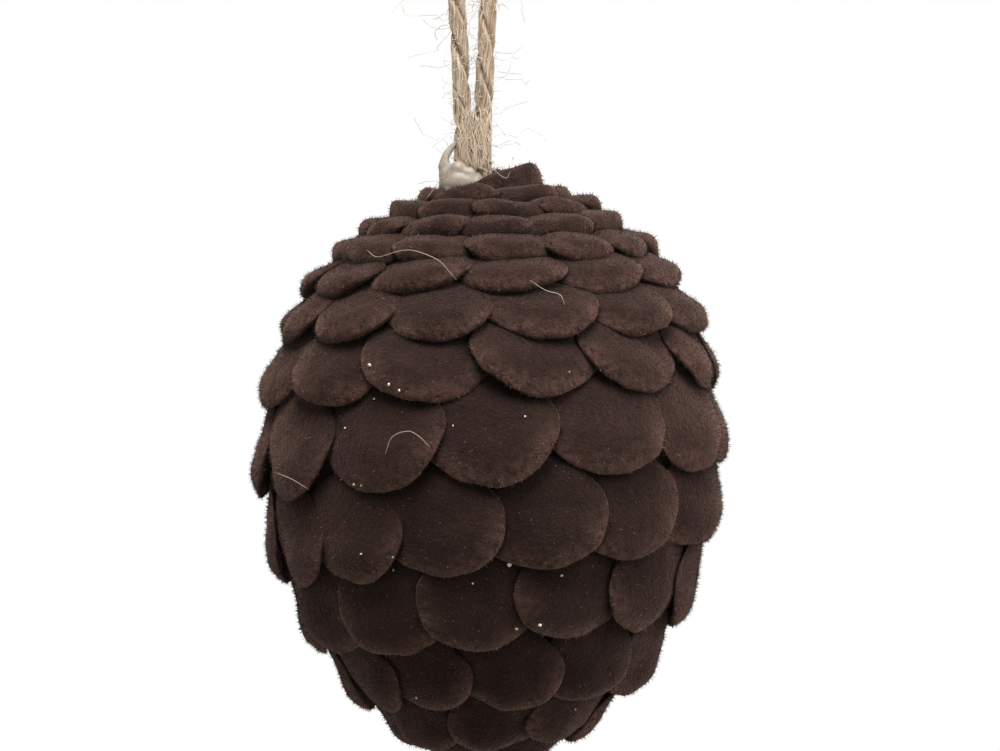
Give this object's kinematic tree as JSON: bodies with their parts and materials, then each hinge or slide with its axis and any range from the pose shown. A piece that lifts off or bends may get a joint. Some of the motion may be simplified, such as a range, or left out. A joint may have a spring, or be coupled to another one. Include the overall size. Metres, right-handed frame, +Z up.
{
  "type": "pine cone ornament",
  "caption": "Hanging tree ornament shaped like a pine cone, with overlapping round flocked scales on a foam egg and a loop of jute twine glued to its crown.",
  "frame": {"origin": "the hanging point, inside the top bend of the twine loop", "axes": "+Z up along the loop, -Y the front of the cone, with the cone's own axis 3.1 mm to the +X side"},
  "size_m": [0.0806, 0.0806, 0.1773],
  "materials": {
    "scale_flock": "dark brown velvet flock, with slightly lighter and warmer rims",
    "core_flock": "the same flock in the deep gaps between scales, nearly black",
    "hot_glue": "milky, half-clear hot-melt glue with a soft shine",
    "jute": "natural jute, twisted plies with loose pale hairs"
  },
  "bodies": {
    "root": {"foam_core": "core_flock", "scale_row_01": "scale_flock", "scale_row_02": "scale_flock", "scale_row_03": "scale_flock", "scale_row_04": "scale_flock", "scale_row_05": "scale_flock", "scale_row_06": "scale_flock", "scale_row_07": "scale_flock", "scale_row_08": "scale_flock", "scale_row_09": "scale_flock", "scale_row_10": "scale_flock", "scale_row_11": "scale_flock", "scale_row_12": "scale_flock", "scale_row_13": "scale_flock", "scale_row_14": "scale_flock", "tip_scale": "scale_flock", "glue_blob": "hot_glue", "twine_loop": "jute"}
  },
  "joints": []
}
